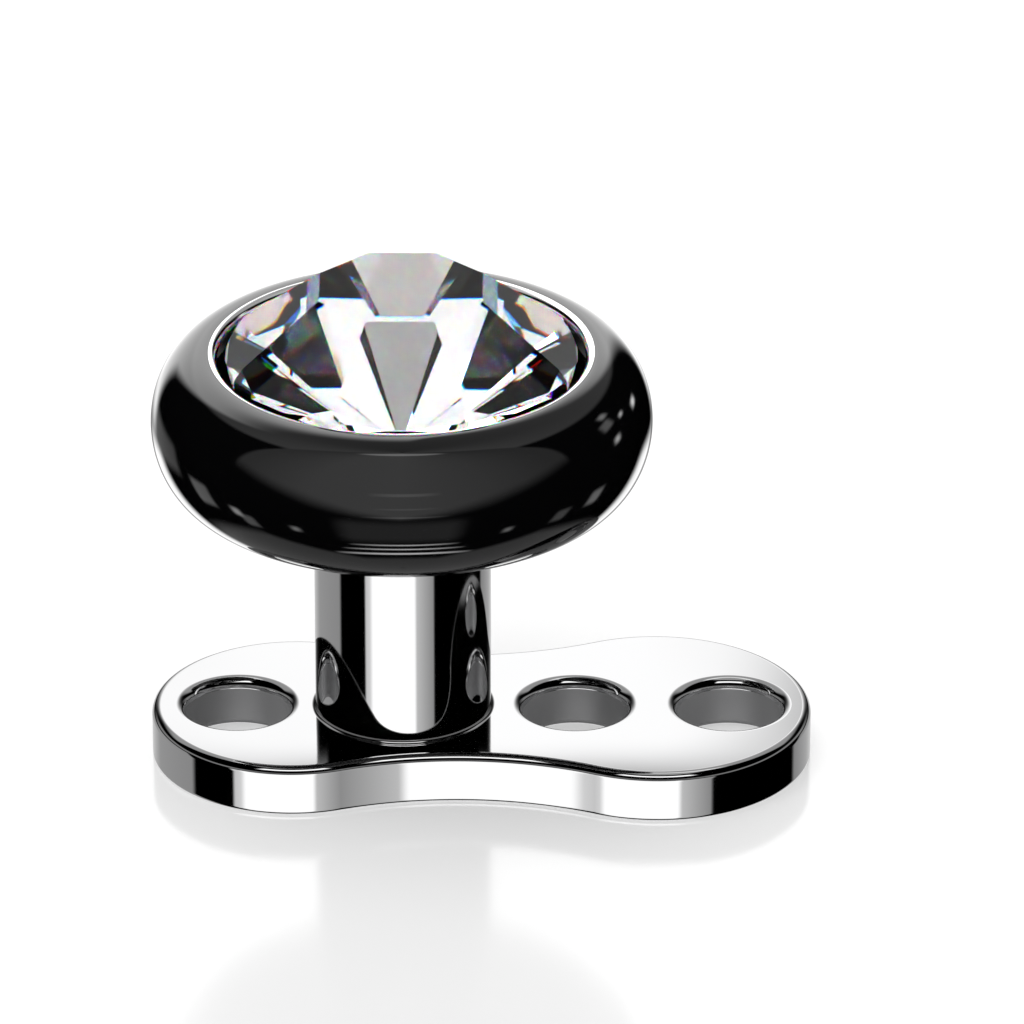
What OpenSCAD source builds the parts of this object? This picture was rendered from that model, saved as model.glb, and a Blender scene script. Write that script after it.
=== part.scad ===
// Dermal anchor: a foot plate with a post, and a black cup with a clear faceted stone that screws into the post.
// Millimetres. The origin is on the post's axis at the foot's underside, +Z is up and +X is the foot's long side.

/* [Foot] */
// Thickness of the foot plate
plate_t = 0.54; // [0.45:0.01:0.7]
// Radius of the lobe around the post
near_lobe_r = 1.48; // [1.4:0.01:1.55]
// Centre of the lobe around the post, along X
near_lobe_x = -1.14; // [-1.2:0.01:-1.05]
// Radius of the lobe with two holes
far_lobe_r = 1.61; // [1.5:0.01:1.7]
// Centre of the lobe with two holes, along X
far_lobe_x = 2.64; // [2.55:0.01:2.7]
// Radius of the hollow sides of the waist between the lobes
waist_r = 3.5; // [3:0.1:5]
// Rounding of the foot's upper edge
foot_top_round = 0.09; // [0.05:0.01:0.12]
// Rounding of the foot's lower edge
foot_low_round = 0.04; // [0.02:0.01:0.06]

/* [Holes] */
// Radius of the three holes
hole_r = 0.54; // [0.45:0.01:0.56]
// Rounding of each hole's upper edge
hole_top_round = 0.11; // [0.05:0.01:0.12]
// Rounding of each hole's lower edge
hole_low_round = 0.04; // [0.02:0.01:0.06]
// Centre of the hole behind the post, along X
near_hole_x = -1.73; // [-1.76:0.01:-1.7]
// Centre of the hole beside the post, along X
middle_hole_x = 1.79; // [1.77:0.01:1.83]
// Centre of the hole at the long side's end, along X
far_hole_x = 3.4; // [3.35:0.01:3.45]

/* [Post] */
// Diameter of the post
post_d = 1.83; // [1.8:0.01:1.9]
// Height of the post above the foot
post_rise = 2.5; // [2:0.1:3.5]
// Hollow rounding where the post meets the foot
post_base_round = 0.04; // [0.02:0.01:0.05]
// Rounding of the post's upper edge
post_top_round = 0.05; // [0.02:0.01:0.08]

/* [Screw] */
// Outer diameter of the thread
thread_d = 1.4; // [1.2:0.01:1.45]
// Length of the thread below the cup
thread_l = 1.75; // [1.4:0.05:1.9]
// Pitch of the thread
thread_pitch = 0.225; // [0.2:0.005:0.25]
// Depth of the thread
thread_depth = 0.115; // [0.08:0.005:0.13]

/* [Cup] */
// Diameter of the cup
cup_d = 5.16; // [5.1:0.01:5.4]
// Height of the cup
cup_h = 1.54; // [1.5:0.01:1.65]
// Reach of the cup's bulging side beyond its flat top and underside
cup_bulge = 0.57; // [0.45:0.01:0.57]
// Radius of the opening that holds the stone
opening_r = 1.89; // [1.88:0.005:1.92]
// Rounding of the lip around the stone
lip_round = 0.09; // [0.04:0.01:0.1]

/* [Stone] */
// Width of the octagonal table across its flats
table_w = 1.67; // [1.5:0.01:1.8]
// Height of the table above the girdle
crown_h = 0.73; // [0.65:0.01:0.8]
// Radius of the stone over its girdle's corners
girdle_r = 1.835; // [1.8:0.005:1.84]
// Thickness of the girdle
girdle_t = 0.04; // [0.02:0.01:0.06]
// Slope of the pavilion's eight main facets, in degrees
pavilion_slope = 38.6; // [36:0.1:38.8]
// Slope of the narrow facets between the pavilion's main facets, in degrees
narrow_slope = 36.9; // [36:0.1:37.5]

/* [Hidden] */
$fn = 96;
post_r = post_d / 2;
thread_r = thread_d / 2;
cup_r = cup_d / 2;

// Free space between the thread and the post's bore, and below the screw's tip
bore_clear = 0.03;
tip_clear = 0.12;
// Chamfer at the mouth of the bore
mouth_chamfer = 0.04;
// Free space between seated pieces
seat_gap = 0.02;
// Overrun of cutting shapes past the faces that they cut
over = 0.1;

// Heights of the pieces above the foot's underside
post_top_z = plate_t + post_rise;
cup_z = post_top_z + seat_gap;
cup_top_z = cup_z + cup_h;
girdle_top_z = cup_top_z - 0.012;
girdle_low_z = girdle_top_z - girdle_t;
table_z = girdle_top_z + crown_h;

// The screw's plain end, fixed in a socket in the cup's underside
shank_r = 0.45;
shank_l = 0.04;
// Radius of the chamfered tip of the screw
tip_r = 0.5;

// Centre of the upper hollow of the waist, which touches both lobes
lobe_gap = far_lobe_x - near_lobe_x;
near_reach = near_lobe_r + waist_r;
far_reach = far_lobe_r + waist_r;
waist_dx = (near_reach ^ 2 - far_reach ^ 2 + lobe_gap ^ 2) / (2 * lobe_gap);
waist_x = near_lobe_x + waist_dx;
waist_y = sqrt(near_reach ^ 2 - waist_dx ^ 2);
// Points where the hollow touches the lobes
near_touch = [near_lobe_x + waist_dx * near_lobe_r / near_reach, waist_y * near_lobe_r / near_reach];
far_touch = [far_lobe_x + (waist_x - far_lobe_x) * far_lobe_r / far_reach, waist_y * far_lobe_r / far_reach];

// A round cutter through a plate of thickness t, flared at both faces so that it leaves rounded edges
module flared_cutter(r, t, top_round, low_round) {
    rotate_extrude() {
        translate([0, -over]) square([r, t + 2 * over]);
        difference() {
            translate([0, t - top_round]) square([r + top_round, top_round + over]);
            translate([r + top_round, t - top_round]) circle(top_round);
        }
        difference() {
            translate([0, -over]) square([r + low_round, low_round + over]);
            translate([r + low_round, low_round]) circle(low_round);
        }
    }
}

// A disc of thickness t with rounded edges
module rounded_disc(r, t, top_round, low_round) {
    rotate_extrude() {
        translate([0, low_round]) square([r, t - top_round - low_round]);
        square([r - low_round, t / 2]);
        translate([0, t / 2]) square([r - top_round, t / 2]);
        intersection() {
            square([r, t]);
            union() {
                translate([r - top_round, t - top_round]) circle(top_round);
                translate([r - low_round, low_round]) circle(low_round);
            }
        }
    }
}

module lobe(x, r) {
    translate([x, 0, 0]) rounded_disc(r, plate_t, foot_top_round, foot_low_round);
}

// The plate between the two lobes, with hollow sides
module waist() {
    difference() {
        linear_extrude(plate_t) polygon([
            [near_lobe_x, 0], near_touch, far_touch,
            [far_lobe_x, 0], [far_touch.x, -far_touch.y], [near_touch.x, -near_touch.y]
        ]);
        for (side = [-1, 1])
            translate([waist_x, side * waist_y, 0])
                flared_cutter(waist_r, plate_t, foot_top_round, foot_low_round);
    }
}

// The whole plate before its holes are cut
module foot_blank() {
    union() {
        union() {
            lobe(near_lobe_x, near_lobe_r);
            waist();
        }
        lobe(far_lobe_x, far_lobe_r);
    }
}

module foot_holes() {
    for (x = [near_hole_x, middle_hole_x, far_hole_x])
        translate([x, 0, 0]) flared_cutter(hole_r, plate_t, hole_top_round, hole_low_round);
}

// The post's own metal, from inside the foot to its top, with a hollow round at its base
module post() {
    rotate_extrude() {
        translate([0, plate_t / 2]) square([post_r, plate_t / 2 + post_rise - post_top_round]);
        translate([0, plate_t]) square([post_r - post_top_round, post_rise]);
        intersection() {
            translate([0, plate_t]) square([post_r, post_rise]);
            translate([post_r - post_top_round, post_top_z - post_top_round]) circle(post_top_round);
        }
        difference() {
            translate([0, plate_t]) square([post_r + post_base_round, post_base_round]);
            translate([post_r + post_base_round, plate_t + post_base_round]) circle(post_base_round);
        }
    }
}

// The blind bore for the screw, from the post's top down
module post_bore() {
    bore_r = thread_r + bore_clear;
    bore_depth = thread_l + tip_clear;
    translate([0, 0, post_top_z - bore_depth]) cylinder(h = bore_depth + over, r = bore_r);
    translate([0, 0, post_top_z - mouth_chamfer])
        cylinder(h = mouth_chamfer, r1 = bore_r, r2 = bore_r + mouth_chamfer);
}

module anchor_base() {
    color("silver") difference() {
        union() {
            foot_blank();
            post();
        }
        post_bore();
        foot_holes();
    }
}

// The cup, with a side of half-elliptic profile, a conical seat for the stone and a socket for the screw
module cap() {
    flat_r = cup_r - cup_bulge;
    wall_h = cup_top_z - girdle_low_z + seat_gap;
    seat_floor_r = 0.2;
    seat_h = (opening_r - seat_floor_r) * tan(pavilion_slope);
    color([0.05, 0.05, 0.055]) translate([0, 0, cup_z]) difference() {
        rotate_extrude() {
            square([flat_r, cup_h]);
            intersection() {
                square([cup_r, cup_h]);
                translate([flat_r, cup_h / 2]) scale([2 * cup_bulge / cup_h, 1]) circle(cup_h / 2);
            }
        }
        translate([0, 0, cup_h - wall_h]) flared_opening(wall_h);
        translate([0, 0, cup_h - wall_h - seat_h]) cylinder(h = seat_h, r1 = seat_floor_r, r2 = opening_r);
        translate([0, 0, -over]) cylinder(h = shank_l + seat_gap + over, r = shank_r + seat_gap);
    }
}

// The cutter of the cup's opening, whose top is flared by the lip's rounding
module flared_opening(h) {
    rotate_extrude() {
        square([opening_r, h + over]);
        difference() {
            translate([0, h - lip_round]) square([opening_r + lip_round, lip_round + over]);
            translate([opening_r + lip_round, h - lip_round]) circle(lip_round);
        }
    }
}

// Cuts a tier of count flat facets. Each plane passes through the point at radius r and height z, and slopes
// by slope degrees from the horizontal, above the girdle for side 1 and below it for side -1.
module facet_tier(count, first, slope, r, z, side) {
    block = 6 * girdle_r;
    for (i = [0 : count - 1])
        rotate([0, 0, first + i * 360 / count])
            translate([r, 0, z])
                rotate([0, side * (slope - 90), 0])
                    translate([0, -block / 2, -block / 2]) cube(block);
}

module stone() {
    flat_r = girdle_r * cos(360 / 32);
    main_reach = 1.76;
    main_slope = atan(crown_h / (main_reach - table_w / 2));
    edge_slope = 54;
    block_r = girdle_r + over;
    // The point where the pavilion's facets would meet, and the flat facet that cuts it off
    point_z = girdle_low_z - flat_r * tan(pavilion_slope);
    culet_r = 0.14;
    culet_z = point_z + culet_r * tan(pavilion_slope);
    color([0.9, 0.95, 1, 0.6]) difference() {
        translate([-block_r, -block_r, culet_z]) cube([2 * block_r, 2 * block_r, table_z - culet_z]);
        // Girdle
        facet_tier(16, 11.25, 90, flat_r, girdle_top_z, 1);
        // Crown: the main facets below the table's edges, and the small facets at their corners
        facet_tier(8, 0, main_slope, main_reach, girdle_top_z, 1);
        facet_tier(16, 11.25, edge_slope, flat_r, girdle_top_z, 1);
        // Pavilion: the main facets, and the narrow facets between them, which aim at the same point
        facet_tier(8, 0, pavilion_slope, flat_r, girdle_low_z, -1);
        facet_tier(8, 22.5, narrow_slope, 0, point_z, -1);
    }
}

// Distance from the nearest groove's bottom, from 0 in a groove to 1 on a ridge, for a right-hand thread
function ridge(z, a) = let (turn = z / thread_pitch - a / 360) 1 - abs(2 * (turn - floor(turn)) - 1);
// Radius of the threaded part at depth d below the cup and angle a, with a chamfered tip
function thread_radius(d, a) = min(tip_r + thread_l - d, thread_r - thread_depth * (1 - ridge(-d, a)));

// The screw is one skin of rings: a plain shank above the cup's underside, and the thread below it
module screw() {
    sides = 24;
    ring_steps = 48;
    shank_rings = [-shank_l, 0];
    thread_rings = [for (k = [0 : ring_steps]) k * thread_l / ring_steps];
    depths = concat(shank_rings, thread_rings);
    rod_points = [
        for (k = [0 : len(depths) - 1]) for (s = [0 : sides - 1])
            let (
                a = -s * 360 / sides,
                r = k < len(shank_rings) ? shank_r : thread_radius(depths[k], a)
            )
            [r * cos(a), r * sin(a), -depths[k]]
    ];
    skin = [
        for (k = [0 : len(depths) - 2]) for (s = [0 : sides - 1])
            let (
                p = k * sides + s,
                q = k * sides + (s + 1) % sides
            )
            each [[p, q, q + sides], [p, q + sides, p + sides]]
    ];
    top_face = [[for (s = [sides - 1 : -1 : 0]) s]];
    tip_face = [[for (s = [0 : sides - 1]) (len(depths) - 1) * sides + s]];
    color("gray") translate([0, 0, cup_z])
        polyhedron(points = rod_points, faces = concat(skin, top_face, tip_face));
}

anchor_base();
cap();
stone();
screw();
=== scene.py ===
"""Looks for the dermal anchor: a polished foot plate and post, a black cup and a clear faceted stone."""
import math

import bmesh
import bpy
import numpy as np
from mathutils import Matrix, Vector
from mathutils.geometry import tessellate_polygon


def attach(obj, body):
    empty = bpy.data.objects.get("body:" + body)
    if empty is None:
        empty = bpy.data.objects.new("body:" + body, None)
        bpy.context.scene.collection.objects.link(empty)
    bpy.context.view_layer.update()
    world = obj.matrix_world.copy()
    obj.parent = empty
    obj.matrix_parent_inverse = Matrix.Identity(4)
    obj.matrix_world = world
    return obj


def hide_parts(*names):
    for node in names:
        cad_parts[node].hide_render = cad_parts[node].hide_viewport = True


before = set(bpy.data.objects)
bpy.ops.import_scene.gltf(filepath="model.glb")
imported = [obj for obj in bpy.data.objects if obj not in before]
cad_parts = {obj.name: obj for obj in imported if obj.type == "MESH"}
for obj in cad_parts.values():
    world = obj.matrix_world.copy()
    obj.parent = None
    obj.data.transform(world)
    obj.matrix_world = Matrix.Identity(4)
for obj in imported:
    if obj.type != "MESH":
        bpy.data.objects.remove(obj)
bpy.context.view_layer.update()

MM = 0.001

# Sizes in millimetres, as in the part's source but for the holes' lower round, which is larger
PLATE_T = 0.54
NEAR_LOBE = (-1.14, 1.48)
FAR_LOBE = (2.64, 1.61)
WAIST_R = 3.5
FOOT_TOP_ROUND = 0.09
FOOT_LOW_ROUND = 0.04
HOLE_R = 0.54
HOLE_TOP_ROUND = 0.11
HOLE_LOW_ROUND = 0.08
HOLE_X = (-1.73, 1.79, 3.4)
POST_R = 0.915
POST_RISE = 2.5
POST_BASE_ROUND = 0.04
POST_TOP_ROUND = 0.05
THREAD_R = 0.7
THREAD_L = 1.75
THREAD_PITCH = 0.225
THREAD_DEPTH = 0.115
SHANK_R = 0.45
SHANK_L = 0.04
TIP_R = 0.5
BORE_CLEAR = 0.03
TIP_CLEAR = 0.12
MOUTH_CHAMFER = 0.04
SEAT_GAP = 0.02
SEAT_FLOOR_R = 0.2
CUP_R = 2.58
CUP_H = 1.54
CUP_BULGE = 0.57
OPENING_R = 1.89
LIP_ROUND = 0.09
TABLE_W = 1.67
CROWN_H = 0.73
MAIN_REACH = 1.76
GIRDLE_R = 1.835
GIRDLE_T = 0.04
GIRDLE_SINK = 0.012
CULET_R = 0.14

# Slopes of the stone's facets in degrees
UPPER_SLOPE = 54
PAVILION_SLOPE = 38.6
NARROW_SLOPE = 36.9

# Levels that follow from the sizes
POST_TOP_Z = PLATE_T + POST_RISE
CUP_Z = POST_TOP_Z + SEAT_GAP
CUP_TOP_Z = CUP_Z + CUP_H
GIRDLE_TOP_Z = CUP_TOP_Z - GIRDLE_SINK
GIRDLE_LOW_Z = GIRDLE_TOP_Z - GIRDLE_T
TABLE_Z = GIRDLE_TOP_Z + CROWN_H

# Fineness of the meshes
ROUND_STEPS = 10
SIDES = 256
HOLE_SIDES = 160
NEAR_STEPS = 160
WAIST_STEPS = 60
FAR_STEPS = 180
CUP_STEPS = 64
THREAD_SIDES = 96
THREAD_STEPS = 240
SAME_POINT = 1e-7
ON_PLANE = 1e-6
WELD_DIGITS = 5

# Material slots besides each piece's first
BORE_SLOT, HOLE_SLOT, TOP_SLOT = 1, 2, 3
LIP_SLOT = 1
PAVILION_SLOT = 1

# Colour and refraction of the three glasses that make up the crystal
GLASSES = (((1, 0, 0, 1), 1.486), ((0, 1, 0, 1), 1.494), ((0, 0, 1, 1), 1.502))

# The view: height angle, pitch and yaw in degrees, distance and shift in metres, lens and sensor
VIEW_RISE = 27.6
VIEW_PITCH = 26.18
VIEW_YAW = -0.15
VIEW_FAR = 0.1
VIEW_X = 1.365 * MM
VIEW_LENS = 336.1
VIEW_SENSOR = 36


# Meshes
class Skin:
    """Patches of faces with exact normals, welded into one mesh."""

    def __init__(self):
        self.points, self.faces, self.normals, self.slots = [], [], [], []

    def patch(self, points, normals, faces, slot=0):
        """Adds faces, each turned so that it faces the way its normals point."""
        start = len(self.points)
        points = [tuple(map(float, p)) for p in points]
        self.points.extend(points)
        for face in faces:
            corners = [start + i for i in face]
            wanted = [tuple(map(float, normals[i])) for i in face]
            kept = [
                k for k in range(len(corners))
                if math.dist(self.points[corners[k]], self.points[corners[k - 1]]) > SAME_POINT
            ]
            if len(kept) < 3:
                continue
            corners = [corners[k] for k in kept]
            wanted = [wanted[k] for k in kept]
            a, b, c = (Vector(self.points[corners[k]]) for k in range(3))
            if (b - a).cross(c - a).dot(sum((Vector(n) for n in wanted), Vector())) < 0:
                corners.reverse()
                wanted.reverse()
            self.faces.append(corners)
            self.normals.extend(wanted)
            self.slots.append(slot)

    def grid(self, points, normals, slot=0):
        """Faces between closed rings: points and normals are (rings, sides, 3)."""
        points, normals = np.asarray(points), np.asarray(normals)
        rings, sides = points.shape[:2]
        faces = [
            (r * sides + s, r * sides + (s + 1) % sides,
             (r + 1) * sides + (s + 1) % sides, (r + 1) * sides + s)
            for r in range(rings - 1) for s in range(sides)
        ]
        self.patch(points.reshape(-1, 3), normals.reshape(-1, 3), faces, slot)

    def flat(self, loops, up, slot=0):
        """A level face bounded by loops, the outer one first."""
        loops = [[Vector(p) for p in loop] for loop in loops]
        points = [p for loop in loops for p in loop]
        self.patch(points, [(0, 0, up)] * len(points), tessellate_polygon(loops), slot)

    def build(self, name):
        """The piece, in metres, with points at the same place welded."""
        keys, points, index = {}, [], []
        for p in self.points:
            key = tuple(round(v, WELD_DIGITS) for v in p)
            if key not in keys:
                keys[key] = len(points)
                points.append(tuple(v * MM for v in p))
            index.append(keys[key])
        mesh = bpy.data.meshes.new(name)
        mesh.from_pydata(points, [], [[index[i] for i in f] for f in self.faces], shade_flat=False)
        mesh.polygons.foreach_set("material_index", self.slots)
        mesh.normals_split_custom_set(self.normals)
        mesh.validate()
        mesh.update()
        return place(name, mesh)


def place(name, data):
    """An object in the scene."""
    made = bpy.data.objects.new(name, data)
    bpy.context.scene.collection.objects.link(made)
    return made


def arc(cx, cz, rx, rz, start, end, steps=ROUND_STEPS):
    """Profile points (x, z, nx, nz) on an ellipse's arc, in degrees from +X, with outward normals."""
    made = []
    for k in range(steps + 1):
        a = math.radians(start + (end - start) * k / steps)
        n = Vector((math.cos(a) / rx, math.sin(a) / rz)).normalized()
        made.append((cx + rx * math.cos(a), cz + rz * math.sin(a), n.x, n.y))
    return made


def rounding(cx, cz, r, start, end):
    """A quarter round's profile."""
    return arc(cx, cz, r, r, start, end)


def hollow(profile):
    """The same profile with its normals turned round."""
    return [(x, z, -nx, -nz) for x, z, nx, nz in profile]


def line(x0, z0, x1, z1, nx, nz):
    """A straight profile whose ends share one normal."""
    n = Vector((nx, nz)).normalized()
    return [(x0, z0, n.x, n.y), (x1, z1, n.x, n.y)]


def ring(x, z, nx, nz, centre=0.0, sides=SIDES):
    """A profile point turned round an upright axis: its points and their normals."""
    a = np.arange(sides) * 2 * math.pi / sides
    c, s, one = np.cos(a), np.sin(a), np.ones(sides)
    return (
        np.stack([centre + x * c, x * s, z * one], -1),
        np.stack([nx * c, nx * s, nz * one], -1),
    )


def revolve(skin, profile, centre=0.0, sides=SIDES, slot=0):
    """Adds a profile turned round an upright axis."""
    rings = [ring(*p, centre=centre, sides=sides) for p in profile]
    skin.grid([r[0] for r in rings], [r[1] for r in rings], slot)


# Foot and post
def foot_outline():
    """Points and outward normals round the foot's edge: two lobes and the hollow arcs between them."""
    (near_x, near_r), (far_x, far_r) = NEAR_LOBE, FAR_LOBE
    gap, near_reach, far_reach = far_x - near_x, near_r + WAIST_R, far_r + WAIST_R
    along = (near_reach ** 2 - far_reach ** 2 + gap ** 2) / (2 * gap)
    waist_x, waist_y = near_x + along, math.sqrt(near_reach ** 2 - along ** 2)
    near_a = math.atan2(waist_y, waist_x - near_x)
    far_a = math.atan2(waist_y, waist_x - far_x)
    points, normals = [], []

    def add(cx, cy, r, start, end, steps, facing=1):
        for k in range(steps):
            a = start + (end - start) * k / steps
            n = np.array([math.cos(a), math.sin(a), 0.0])
            points.append(np.array([cx, cy, 0.0]) + r * n)
            normals.append(facing * n)

    add(near_x, 0, near_r, near_a, 2 * math.pi - near_a, NEAR_STEPS)
    add(waist_x, -waist_y, WAIST_R, math.pi - near_a, math.pi - far_a, WAIST_STEPS, -1)
    add(far_x, 0, far_r, -far_a, far_a, FAR_STEPS)
    add(waist_x, waist_y, WAIST_R, far_a - math.pi, near_a - math.pi, WAIST_STEPS, -1)
    return np.array(points), np.array(normals)


def add_edge(skin):
    """The foot's rounded edge; gives its lowest and its highest loop."""
    edge, out = foot_outline()
    up = np.array([0.0, 0.0, 1.0])
    profile = (
        rounding(-FOOT_LOW_ROUND, FOOT_LOW_ROUND, FOOT_LOW_ROUND, -90, 0)
        + rounding(-FOOT_TOP_ROUND, PLATE_T - FOOT_TOP_ROUND, FOOT_TOP_ROUND, 0, 90)
    )
    rings = [edge + x * out + z * up for x, z, _, _ in profile]
    skin.grid(rings, [nx * out + nz * up for _, _, nx, nz in profile])
    return rings[0], rings[-1]


def add_hole(skin, x):
    """A through hole's wall with its two rounded rims; gives its lowest and its highest loop."""
    low = rounding(HOLE_R + HOLE_LOW_ROUND, HOLE_LOW_ROUND, HOLE_LOW_ROUND, 270, 180)
    high = rounding(HOLE_R + HOLE_TOP_ROUND, PLATE_T - HOLE_TOP_ROUND, HOLE_TOP_ROUND, 180, 90)
    revolve(skin, low + high[:1], centre=x, sides=HOLE_SIDES, slot=HOLE_SLOT)
    revolve(skin, high, centre=x, sides=HOLE_SIDES)
    return [ring(*p, centre=x, sides=HOLE_SIDES)[0][::-1] for p in (low[0], high[-1])]


def add_post(skin):
    """The post with its blind bore; gives the loop where it meets the plate."""
    bore_r = THREAD_R + BORE_CLEAR
    bore_z = POST_TOP_Z - THREAD_L - TIP_CLEAR
    mouth_r, mouth_z = bore_r + MOUTH_CHAMFER, POST_TOP_Z - MOUTH_CHAMFER
    top_r = POST_R - POST_TOP_ROUND
    outside = (
        hollow(rounding(POST_R + POST_BASE_ROUND, PLATE_T + POST_BASE_ROUND, POST_BASE_ROUND, 270, 180))
        + rounding(top_r, POST_TOP_Z - POST_TOP_ROUND, POST_TOP_ROUND, 0, 90)
        + line(top_r, POST_TOP_Z, mouth_r, POST_TOP_Z, 0, 1)
    )
    revolve(skin, outside)
    revolve(skin, line(mouth_r, POST_TOP_Z, bore_r, mouth_z, -1, 1))
    revolve(skin, line(bore_r, mouth_z, bore_r, bore_z, -1, 0), slot=BORE_SLOT)
    revolve(skin, line(bore_r, bore_z, 0, bore_z, 0, 1))
    return ring(*outside[0])[0][::-1]


def make_foot():
    """The foot plate with its three holes, and the post on it, as one skin."""
    skin = Skin()
    low_loop, top_loop = add_edge(skin)
    low_loops, top_loops = [low_loop], [top_loop]
    for x in HOLE_X:
        low_loop, top_loop = add_hole(skin, x)
        low_loops.append(low_loop)
        top_loops.append(top_loop)
    top_loops.append(add_post(skin))
    skin.flat(low_loops, -1)
    skin.flat(top_loops, 1, TOP_SLOT)
    return skin.build("foot_and_post")


# Cup
def make_cup():
    """The black ring with its socket below, its half-elliptic side, the bare lip and the stone's seat."""
    skin = Skin()
    flat_r = CUP_R - CUP_BULGE
    slope = math.radians(PAVILION_SLOPE)
    wall_low = GIRDLE_LOW_Z - SEAT_GAP
    seat_low = wall_low - (OPENING_R - SEAT_FLOOR_R) * math.tan(slope)
    socket_r = SHANK_R + SEAT_GAP
    socket_z = CUP_Z + SHANK_L + SEAT_GAP
    lip_r, lip_z = OPENING_R + LIP_ROUND, CUP_TOP_Z - LIP_ROUND
    side = arc(flat_r, CUP_Z + CUP_H / 2, CUP_BULGE, CUP_H / 2, -90, 90, CUP_STEPS)
    revolve(skin, line(0, socket_z, socket_r, socket_z, 0, -1))
    revolve(skin, line(socket_r, socket_z, socket_r, CUP_Z, -1, 0))
    revolve(skin, line(socket_r, CUP_Z, flat_r, CUP_Z, 0, -1) + side)
    revolve(skin, line(flat_r, CUP_TOP_Z, lip_r, CUP_TOP_Z, 0, 1))
    revolve(skin, rounding(lip_r, lip_z, LIP_ROUND, 90, 180), slot=LIP_SLOT)
    revolve(skin, line(OPENING_R, lip_z, OPENING_R, wall_low, -1, 0), slot=LIP_SLOT)
    revolve(skin, line(OPENING_R, wall_low, SEAT_FLOOR_R, seat_low, -math.sin(slope), math.cos(slope)))
    revolve(skin, line(SEAT_FLOOR_R, seat_low, 0, seat_low, 0, 1))
    return skin.build("cup")


# Screw
def make_screw():
    """The stud's thread as rings of a helical ridge, from the shank down to the chamfered tip."""
    skin = Skin()
    sharp_angle = math.radians(40)
    a = -np.arange(THREAD_SIDES) * 2 * math.pi / THREAD_SIDES

    def loop(r, depth):
        return np.stack([r * np.cos(a), r * np.sin(a), np.full(THREAD_SIDES, CUP_Z - depth)], -1)

    rings = [loop(SHANK_R, depth) for depth in (-SHANK_L, 0.0)]
    for k in range(THREAD_STEPS + 1):
        depth = k * THREAD_L / THREAD_STEPS
        turn = -depth / THREAD_PITCH - np.degrees(a) / 360
        ridge = 1 - np.abs(2 * (turn - np.floor(turn)) - 1)
        tip_r = TIP_R + THREAD_L - depth
        rings.append(loop(np.minimum(tip_r, THREAD_R - THREAD_DEPTH * (1 - ridge)), depth))
    rings = np.array(rings)
    out = rings.copy()
    out[..., 2] = 0
    out /= np.linalg.norm(out, axis=-1, keepdims=True)
    skin.grid(rings, out)
    skin.flat([rings[0]], 1)
    skin.flat([rings[-1]], -1)
    piece = skin.build("threaded_stud")
    piece.data.set_sharp_from_angle(angle=sharp_angle)
    return piece


# Stone
def cut(solid, normal, point, slot):
    """Cuts off what lies beyond a plane and closes the cut with one face."""
    geometry = solid.verts[:] + solid.edges[:] + solid.faces[:]
    made = bmesh.ops.bisect_plane(
        solid, geom=geometry, dist=ON_PLANE, plane_co=point, plane_no=normal, clear_outer=True
    )
    edges = [e for e in made["geom_cut"] if isinstance(e, bmesh.types.BMEdge)]
    if len(edges) > 2:
        for face in bmesh.ops.contextual_create(solid, geom=edges)["faces"]:
            face.material_index = slot


def tier(solid, count, first, slope, r, z, side, slot):
    """Cuts a ring of facets that pass through radius r at level z, above (side 1) or below (-1)."""
    s = math.radians(slope)
    for k in range(count):
        a = math.radians(first + k * 360 / count)
        normal = Vector((math.sin(s) * math.cos(a), math.sin(s) * math.sin(a), side * math.cos(s)))
        cut(solid, normal, Vector((r * math.cos(a), r * math.sin(a), z)), slot)


def make_stone():
    """A block that is cut down, tier by tier, to a round stone."""
    mains, halves = 8, 16
    between_mains, between_halves = 180 / mains, 180 / halves
    flat_r = GIRDLE_R * math.cos(math.pi / halves)
    main_slope = math.degrees(math.atan(CROWN_H / (MAIN_REACH - TABLE_W / 2)))
    lean = math.tan(math.radians(PAVILION_SLOPE))
    point_z = GIRDLE_LOW_Z - flat_r * lean
    block_w, block_h = 2.2 * GIRDLE_R, 4.0
    solid = bmesh.new()
    bmesh.ops.create_cube(solid, size=1.0)
    bmesh.ops.scale(solid, vec=(block_w, block_w, block_h), verts=solid.verts)
    bmesh.ops.translate(solid, vec=(0, 0, TABLE_Z - block_h / 2), verts=solid.verts)
    tier(solid, halves, between_halves, 90, flat_r, GIRDLE_TOP_Z, 1, 0)
    tier(solid, mains, 0, main_slope, MAIN_REACH, GIRDLE_TOP_Z, 1, 0)
    tier(solid, halves, between_halves, UPPER_SLOPE, flat_r, GIRDLE_TOP_Z, 1, 0)
    tier(solid, mains, 0, PAVILION_SLOPE, flat_r, GIRDLE_LOW_Z, -1, PAVILION_SLOT)
    tier(solid, mains, between_mains, NARROW_SLOPE, 0, point_z, -1, PAVILION_SLOT)
    cut(solid, Vector((0, 0, -1)), Vector((0, 0, point_z + CULET_R * lean)), PAVILION_SLOT)
    bmesh.ops.scale(solid, vec=(MM, MM, MM), verts=solid.verts)
    bmesh.ops.recalc_face_normals(solid, faces=solid.faces)
    mesh = bpy.data.meshes.new("cut_stone")
    solid.to_mesh(mesh)
    solid.free()
    return place("cut_stone", mesh)


# Materials
def material(name):
    """An empty material, with its nodes and links."""
    made = bpy.data.materials.new(name)
    made.use_nodes = True
    nodes = made.node_tree.nodes
    nodes.clear()
    return made, nodes, made.node_tree.links


def finish(nodes, links, shader, kind="Material"):
    """Joins the last shader to the output."""
    end = nodes.new("ShaderNodeOutput" + kind)
    links.new(shader.outputs[0], end.inputs["Surface"])


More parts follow.
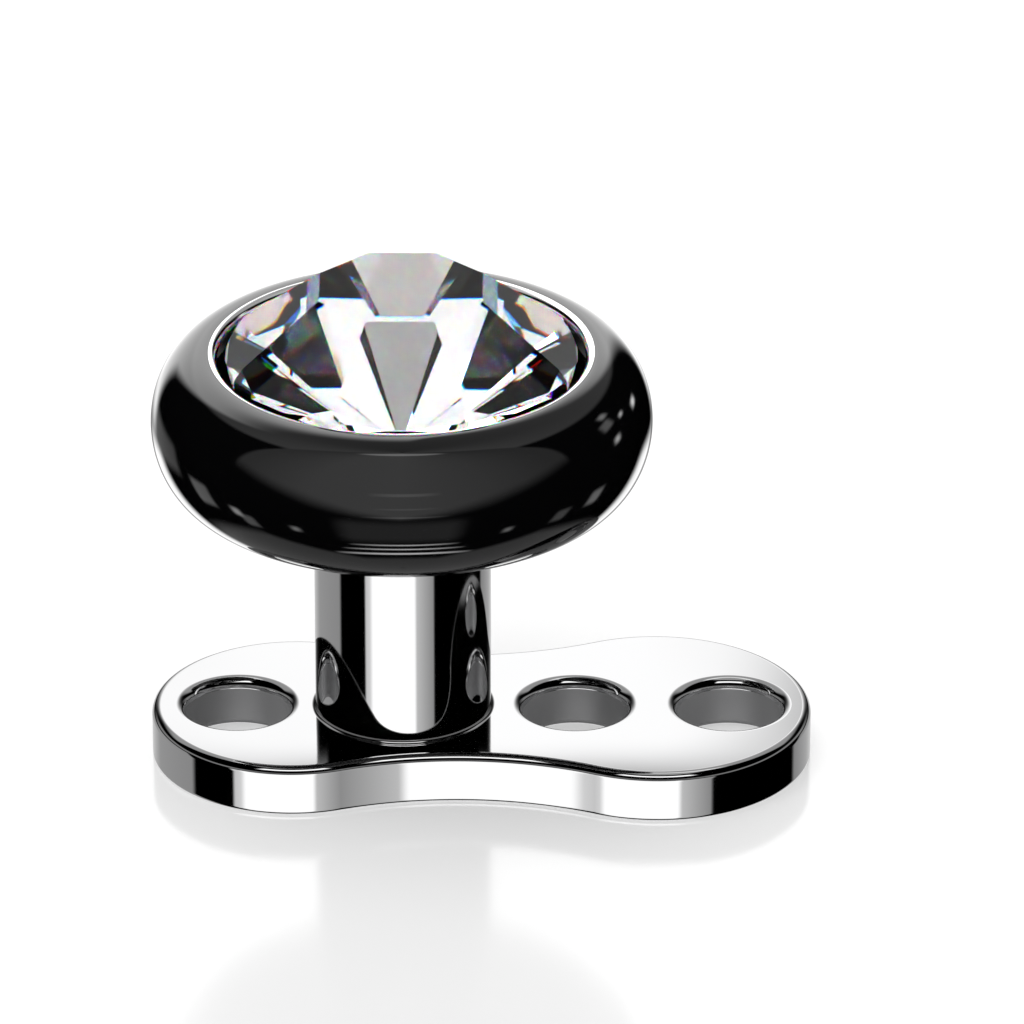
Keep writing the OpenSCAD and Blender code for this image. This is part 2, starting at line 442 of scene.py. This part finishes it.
def shaded(name, color, metallic, roughness, spread, scale, bump, ior=1.5):
    """A principled material whose roughness and surface vary finely."""
    made, nodes, links = material(name)
    shader = nodes.new("ShaderNodeBsdfPrincipled")
    shader.inputs["Base Color"].default_value = (*color, 1)
    shader.inputs["Metallic"].default_value = metallic
    shader.inputs["IOR"].default_value = ior
    where = nodes.new("ShaderNodeTexCoord")
    noise = nodes.new("ShaderNodeTexNoise")
    noise.inputs["Scale"].default_value = scale
    noise.inputs["Detail"].default_value = 4
    links.new(where.outputs["Object"], noise.inputs["Vector"])
    ramp = nodes.new("ShaderNodeMapRange")
    ramp.inputs["To Min"].default_value = roughness - spread
    ramp.inputs["To Max"].default_value = roughness + spread
    links.new(noise.outputs["Fac"], ramp.inputs["Value"])
    links.new(ramp.outputs["Result"], shader.inputs["Roughness"])
    rise = nodes.new("ShaderNodeBump")
    rise.inputs["Strength"].default_value = bump
    rise.inputs["Distance"].default_value = 0.01 * MM
    links.new(noise.outputs["Fac"], rise.inputs["Height"])
    links.new(rise.outputs["Normal"], shader.inputs["Normal"])
    finish(nodes, links, shader)
    return made


def polished_metal(name):
    """The foot's and the post's mirror finish."""
    return shaded(name, (0.88, 0.88, 0.885), 1.0, roughness=0.05, spread=0.02, scale=1500, bump=0.02)


def polished_top():
    """The plate's upper face: polished metal that falls off gently towards its front and its long end."""
    side_fall, end_fall, end_start = 0.005, 0.012, 2.2
    swell, swell_scale = 0.035, 450
    made = polished_metal("polished_top")
    nodes, links = made.node_tree.nodes, made.node_tree.links
    rise = next(n for n in nodes if n.type == "BUMP")
    where = next(n for n in nodes if n.type == "TEX_COORD")

    def maths(operation, first, second):
        node = nodes.new("ShaderNodeMath")
        node.operation = operation
        for socket, value in zip(node.inputs, (first, second)):
            if isinstance(value, (int, float)):
                socket.default_value = value
            else:
                links.new(value, socket)
        return node.outputs[0]

    split = nodes.new("ShaderNodeSeparateXYZ")
    links.new(where.outputs["Object"], split.inputs[0])
    across = maths("MULTIPLY", split.outputs["Y"], 1 / MM)
    past_start = maths("SUBTRACT", maths("MULTIPLY", split.outputs["X"], 1 / MM), end_start)
    sides = maths("MULTIPLY", maths("POWER", maths("ABSOLUTE", across, 0), 4), -side_fall * MM)
    end = maths("MULTIPLY", maths("POWER", maths("MAXIMUM", past_start, 0), 3), -end_fall * MM)
    waves = nodes.new("ShaderNodeTexNoise")
    waves.inputs["Scale"].default_value = swell_scale
    waves.inputs["Detail"].default_value = 1
    links.new(where.outputs["Object"], waves.inputs["Vector"])
    height = maths("ADD", maths("ADD", sides, end), maths("MULTIPLY", waves.outputs["Fac"], swell * MM))
    fall = nodes.new("ShaderNodeBump")
    fall.inputs["Strength"].default_value = 1.0
    fall.inputs["Distance"].default_value = 1.0
    links.new(height, fall.inputs["Height"])
    links.new(fall.outputs["Normal"], rise.inputs["Normal"])
    return made


def crystal():
    """Clear glass that splits light, as three glasses with their own refraction for red, green and blue."""
    made, nodes, links = material("clear_crystal")
    total = None
    for color, ior in GLASSES:
        glass = nodes.new("ShaderNodeBsdfGlass")
        glass.inputs["Color"].default_value = color
        glass.inputs["Roughness"].default_value = 0.0
        glass.inputs["IOR"].default_value = ior
        if total is None:
            total = glass
        else:
            add = nodes.new("ShaderNodeAddShader")
            links.new(total.outputs[0], add.inputs[0])
            links.new(glass.outputs[0], add.inputs[1])
            total = add
    finish(nodes, links, total)
    return made


def foil():
    """The mirror behind the stone's lower facets."""
    made, nodes, links = material("mirror_foil")
    shader = nodes.new("ShaderNodeBsdfAnisotropic")
    shader.inputs["Color"].default_value = (0.95, 0.95, 0.96, 1)
    shader.inputs["Roughness"].default_value = 0.02
    finish(nodes, links, shader)
    return made


def bore_metal():
    """The plain metal of the post's bore."""
    return shaded("bore_metal", (0.5, 0.5, 0.5), 1.0, roughness=0.25, spread=0.05, scale=3000, bump=0.2)


def hole_wall_satin_and_painted_shade():
    """The walls of the foot's holes: an unpolished satin finish, with a darker grey that is painted shade for
    the inside of the holes.
    """
    # Darker grey painted in as the shade inside the holes; the roughness is the walls' duller finish
    grey = (0.3, 0.3, 0.305)
    return shaded("hole_wall_satin_and_painted_shade", grey, 0.3, roughness=0.5, spread=0.1, scale=2500, bump=0.1)


def black_coating():
    """The cup's glossy black."""
    black = (0.0012, 0.0012, 0.0014)
    return shaded("black_coating", black, 0.0, roughness=0.045, spread=0.015, scale=2500, bump=0.02, ior=1.55)


def bare_lip():
    """The uncoated metal round the stone."""
    return shaded("bare_lip", (0.9, 0.9, 0.9), 1.0, roughness=0.12, spread=0.03, scale=3000, bump=0.02)


def brushed_steel():
    """The screw's duller metal."""
    dark = (0.45, 0.45, 0.46)
    return shaded("brushed_steel", dark, 1.0, roughness=0.22, spread=0.06, scale=4000, bump=0.1)


# Pieces
def dress(piece, *materials):
    """Gives a piece its materials, in the order of its slots."""
    for made in materials:
        piece.data.materials.append(made)


foot = make_foot()
dress(foot, polished_metal("polished_metal"), bore_metal(), hole_wall_satin_and_painted_shade(), polished_top())
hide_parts("anchor_base")
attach(foot, "anchor")

cup = make_cup()
dress(cup, black_coating(), bare_lip())
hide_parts("cap")
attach(cup, "top")

stone = make_stone()
dress(stone, crystal(), foil())
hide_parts("stone")
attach(stone, "top")

screw = make_screw()
dress(screw, brushed_steel())
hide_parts("screw")
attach(screw, "top")


# Floor
def make_floor():
    """A plain white floor with a faint gloss, which the pieces' own reflections don't see."""
    half, drop = 1.5, 0.01 * MM
    mesh = bpy.data.meshes.new("floor")
    corners = [(-half, -half, 0), (half, -half, 0), (half, half, 0), (-half, half, 0)]
    mesh.from_pydata(corners, [], [(0, 1, 2, 3)])
    floor = place("floor", mesh)
    floor.location.z = -drop
    made, nodes, links = material("pale_floor")
    shader = nodes.new("ShaderNodeBsdfPrincipled")
    shader.inputs["Base Color"].default_value = (0.45, 0.45, 0.45, 1)
    shader.inputs["Emission Color"].default_value = (1, 1, 1, 1)
    shader.inputs["Emission Strength"].default_value = 0.45
    shader.inputs["Roughness"].default_value = 0.14
    shader.inputs["IOR"].default_value = 2.5
    finish(nodes, links, shader)
    mesh.materials.append(made)
    floor.visible_glossy = False
    floor.visible_transmission = False
    return floor


# Studios. Directions are a turn az, 0 in front and 90 at the right, and a rise el, both in degrees
def smooth(value, low, high):
    """From 0 at low to 1 at high, with soft ends."""
    t = np.clip((value - low) / (high - low), 0, 1)
    return t * t * (3 - 2 * t)


def fade(value, low, high):
    """From 1 at low to 0 at high, with soft ends."""
    return 1 - smooth(value, low, high)


def levels(value, stops):
    """Straight lines through stops, each a place and the level there."""
    places, heights = zip(*stops)
    return np.interp(value, places, heights)


def card(az, el, turn, half_w, rise, half_h, soft):
    """How much of a soft-edged rectangular card covers each direction."""
    off = np.abs((az - turn + 180) % 360 - 180)
    return fade(off, half_w - soft, half_w + soft) * fade(np.abs(el - rise), half_h - soft, half_h + soft)


# Low bands that the foot's and the post's upright sides show, as stops of turn and light
LEFT_BAND = ((-180, 0.75), (-165, 0.6), (-140, 0.32), (-91, 0.27), (-87, 0))
RIGHT_BAND = ((122, 0), (126, 0.25), (150, 0.4), (180, 0.75))
FRONT_BAND = (
    (-50, 0), (-48.5, 0.6), (-43, 0.7), (-39, 1.15), (16, 1.15),
    (19, 0.55), (30, 0.4), (41, 0.27), (42.5, 0),
)

# Faint light round the sides, for the plate's top as seen from behind: turn to either side, light
SIDE_GLOW = ((15, 0.12), (40, 0.2), (130, 0.2), (150, 0))

# Cards over the metal: turn, half width, rise, half height, softness, light
METAL_CARDS = (
    (180, 60, 52, 18, 5, 0.3),  # a soft strip overhead that the rounded edges show
    (180, 60, 71, 5, 3, 0.7),  # a bright one at its end
    (0, 34, 52, 7, 3, 1.3),  # a short strip in front that the holes' rims show
)


def metal_studio(az, el):
    """Bands round the foot and post: light behind them, and white cards with dark gaps in front."""
    wide = np.abs(az)
    bands = levels(az, LEFT_BAND) + levels(az, RIGHT_BAND) + levels(az, FRONT_BAND)
    light = bands * smooth(el, -62, -55) * fade(el, -8, -2)
    # The light behind that the plate's top shows, which fades sideways and upwards
    high = np.maximum(el - 28, 0)
    light += 1.12 * np.exp(-((180 - wide) / 14) ** 2 - (high / 7.5) ** 2) * smooth(el, 3, 9)
    for turn, half_w, rise, half_h, soft, power in METAL_CARDS:
        light += power * card(az, el, turn, half_w, rise, half_h, soft)
    light += levels(wide, SIDE_GLOW) * smooth(el, 1, 5) * fade(el, 13, 19)
    # Faint light straight overhead, for the plate's top as seen from above
    return light + 0.3 * smooth(el, 72, 78)


# The softbox in front of the cup: its light, and its lower edge and how softly that fades, by turn
BOX_LIGHT = ((-75, 0.42), (-40, 0.75), (0, 0.8), (40, 0.6), (75, 0.35))
BOX_EDGE = ((0, -14), (20, -9), (50, 3), (80, 14))
BOX_BLUR = ((0, 3), (20, 7), (40, 10), (80, 7))

# Bright floor behind the cup: degrees from the direction that its lower edge shows, light
BACK_FLOOR = ((0, 0.4), (13, 0.5), (18, 2.6), (28, 2.8), (36, 0))

# The pale floor's rim below the cup: turn to either side, rise
FLOOR_RIM = ((30, -68), (80, -47))

# Thin lines that the cup shows in front: rise, half width, half height, light
THIN_LINES = (
    (15.5, 17, 1.8, 0.6),
    (-2, 15, 0.7, 0.5),
    (-12, 20, 0.7, 0.9),
    (-47, 30, 0.8, 6),
    (-53, 36, 0.8, 7),
    (-60, 46, 1.3, 7),
)

# Small square glints at the cup's sides: turn, rise, half width, light
GLINTS = (
    (113, 15, 4, 1),
    (118, 24, 2.5, 2),
    (136, 1, 2, 5),
    (124, 9, 1.5, 4),
    (114, -2, 2, 4),
    (104, -31, 4, 1.2),
    (84, -36, 4, 0.6),
    (54, -38, 2, 2),
    (-52, -36, 2, 2.5),
    (-80, -38, 4, 0.9),
    (-85, -33, 2.5, 3),
    (-106, -29, 6, 0.9),
)


def cup_room(az, el):
    """The cup's surroundings but for the softbox: soft light above and behind, and dark sides."""
    wide = np.abs(az)
    off = 180 - wide
    # The light above, down to the dark sides
    dark_top = 54 - np.maximum(wide - 85, 0) * 0.42
    light = (0.3 + 0.3 * (1 + np.cos(np.radians(az)))) * smooth(el, dark_top - 3, dark_top + 3)
    # The light behind, wider at the left and towards its top there
    edge = np.where(az < 0, 30 + 0.55 * np.clip(el - 8, 0, 45), 17)
    top = np.where(az < 0, 54, 38)
    light += 2.1 * fade(off, edge - 5, edge + 5) * smooth(el, -26, -16) * fade(el, top - 16, top + 6)
    light += 0.35 * card(az, el, -140, 18, -20, 6, 3)
    # Bright floor behind, round the direction that the cup's lower edge shows
    rise, down = np.radians(el), math.radians(-VIEW_RISE)
    toward = np.sin(rise) * math.sin(down) + np.cos(rise) * math.cos(down) * np.cos(np.radians(off))
    away = np.degrees(np.arccos(np.clip(toward, -1, 1)))
    return light + levels(away, BACK_FLOOR) * fade(el, -28, -22)


def cup_studio(az, el):
    """A wide softbox in front, soft light above and behind, dark sides and a few small reflections."""
    wide = np.abs(az)
    # The softbox, whose lower edge fades and rises towards its sides
    edge, blur = levels(wide, BOX_EDGE), levels(wide, BOX_BLUR)
    box = fade(np.abs(az - 1), 80, 83) * smooth(el, edge - blur, edge + blur)
    light = cup_room(az, el) * (1 - box) + levels(az, BOX_LIGHT) * box
    # An oval lamp above the front
    side = np.cos(np.radians(el)) * np.sin(np.radians(az))
    ahead = np.cos(np.radians(el)) * np.cos(np.radians(az))
    light += 1.8 * (el > 0) * fade(np.hypot(side / 0.2, (ahead - 0.1) / 0.05), 0.7, 1.1)
    # Thin lines in front, over a faint glow
    light += 0.28 * card(az, el, 0, 28, -30, 12, 6)
    for rise, half_w, half_h, power in THIN_LINES:
        taper = np.clip(1 - ((az - 2) / half_w) ** 2, 0, 1)
        light += power * taper * fade(np.abs(el - rise), half_h - 0.5, half_h + 0.5)
    for turn, rise, half, power in GLINTS:
        light += power * card(az, el, turn, half, rise, half, min(half, 2))
    # The pale floor below
    rim = levels(wide, FLOOR_RIM)
    return light + 0.42 * fade(el, rim - 4, rim + 4)


# Cards round the stone, each at both sides: turn, half width, rise, half height, softness, light
STONE_CARDS = (
    (26, 11, 10.5, 8.5, 1, 0.02),  # dark gaps low at both sides
    (63, 27, 16.5, 9.5, 1, 0.02),
    (71.5, 5, 0, 4, 1, 1.6),  # white cards below them
    (76, 19, 47.5, 5.5, 1, 0.02),  # dark gaps high at both sides
    (112.7, 4, 45.7, 2, 1, 0.05),
    (147, 20, 47, 12, 2, 0.04),  # dark behind, beside grey cards
    (155, 8, 4.5, 4, 1.5, 0.4),
    (180, 25, 25, 9, 3, 0.3),
    (0, 10, 56, 5, 2, 0.42),  # grey cards high and low in front
    (0, 14, 14, 10, 3, 0.66),
    (32, 14, 71, 7, 2, 0.03),  # dark gaps and a white card overhead, for the stone as seen from above
    (122, 14, 71, 7, 2, 0.03),
    (77, 12, 81, 4, 2, 0.05),
    (165, 15, 79, 6, 2, 1.2),
    (0, 180, 90, 4, 2, 0.1),
)


def stone_studio(az, el):
    """White all round and pale overhead, but for the cards that the stone shows in its facets."""
    light = 1.1 - 0.4 * smooth(el, 60, 68)
    for turn, half_w, rise, half_h, soft, value in STONE_CARDS:
        share = card(np.abs(az), el, turn, half_w, rise, half_h, soft)
        light = light * (1 - share) + value * share
    return light


def floor_studio(az, el):
    """White all round."""
    return np.ones(az.shape)


def make_studio(name, radius, light, pieces):
    """A dome whose light only reaches the given pieces' reflections; everything else passes through it."""
    turns, rises, highest = 300, 300, 89.5
    az = np.linspace(-180, 180, turns, endpoint=False)
    el = np.linspace(-highest, highest, rises)
    wide, high = np.meshgrid(np.radians(az), np.radians(el))
    points = radius * np.stack([np.sin(wide) * np.cos(high), -np.cos(wide) * np.cos(high), np.sin(high)], -1)
    faces = [
        (r * turns + t, r * turns + (t + 1) % turns, (r + 1) * turns + (t + 1) % turns, (r + 1) * turns + t)
        for r in range(rises - 1) for t in range(turns)
    ]
    mesh = bpy.data.meshes.new(name)
    mesh.from_pydata(points.reshape(-1, 3).tolist(), [], faces)
    glow = mesh.attributes.new("glow", "FLOAT", "POINT")
    glow.data.foreach_set("value", light(np.degrees(wide), np.degrees(high)).ravel().astype(np.float32))
    made, nodes, links = material(name)
    where = nodes.new("ShaderNodeAttribute")
    where.attribute_name = "glow"
    glowing = nodes.new("ShaderNodeEmission")
    links.new(where.outputs["Fac"], glowing.inputs["Strength"])
    both = nodes.new("ShaderNodeAddShader")
    links.new(glowing.outputs[0], both.inputs[0])
    links.new(nodes.new("ShaderNodeBsdfTransparent").outputs[0], both.inputs[1])
    finish(nodes, links, both)
    made.cycles.emission_sampling = "NONE"
    mesh.materials.append(made)
    lit = bpy.data.collections.new(name + "_pieces")
    for piece in pieces:
        lit.objects.link(piece)
    dome = place(name, mesh)
    dome.light_linking.receiver_collection = lit
    dome.visible_camera = False
    dome.visible_diffuse = False
    dome.visible_shadow = False


def make_world():
    """White for the camera and for the floor's shading; the pieces' reflections only see their own domes."""
    world = bpy.data.worlds.new("studio")
    bpy.context.scene.world = world
    world.use_nodes = True
    nodes, links = world.node_tree.nodes, world.node_tree.links
    nodes.clear()
    path = nodes.new("ShaderNodeLightPath")
    open_rays = nodes.new("ShaderNodeMath")
    open_rays.operation = "MAXIMUM"
    links.new(path.outputs["Is Camera Ray"], open_rays.inputs[0])
    links.new(path.outputs["Is Diffuse Ray"], open_rays.inputs[1])
    back = nodes.new("ShaderNodeBackground")
    links.new(open_rays.outputs[0], back.inputs["Strength"])
    finish(nodes, links, back, "World")


def make_key_light():
    """A weak soft light from above, for the shadow on the floor."""
    at, size, power = Vector((-0.05, -0.02, 0.2)), 0.2, 0.25
    data = bpy.data.lights.new("key", "AREA")
    data.shape = "DISK"
    data.size = size
    data.energy = power
    light = place("key", data)
    light.location = at
    light.rotation_euler = (-at).to_track_quat("-Z", "Y").to_euler()
    light.visible_glossy = False


def make_camera():
    """A long lens in front of the object and above it."""
    rise, pitch, yaw = (math.radians(angle) for angle in (VIEW_RISE, VIEW_PITCH, VIEW_YAW))
    data = bpy.data.cameras.new("camera")
    data.lens = VIEW_LENS
    data.sensor_width = VIEW_SENSOR
    data.sensor_fit = "HORIZONTAL"
    data.clip_start = 0.001
    data.clip_end = 10
    camera = place("camera", data)
    camera.location = (VIEW_X, -VIEW_FAR * math.cos(rise), VIEW_FAR * math.sin(rise))
    camera.rotation_euler = (math.pi / 2 - pitch, 0, -yaw)
    bpy.context.scene.camera = camera


floor = make_floor()
make_world()
make_studio("floor_studio", 1.0, floor_studio, [floor])
make_studio("metal_studio", 0.9, metal_studio, [foot, screw])
make_studio("cup_studio", 0.8, cup_studio, [cup])
make_studio("stone_studio", 0.7, stone_studio, [stone])
make_key_light()
make_camera()
bpy.context.scene.view_settings.view_transform = "Standard"
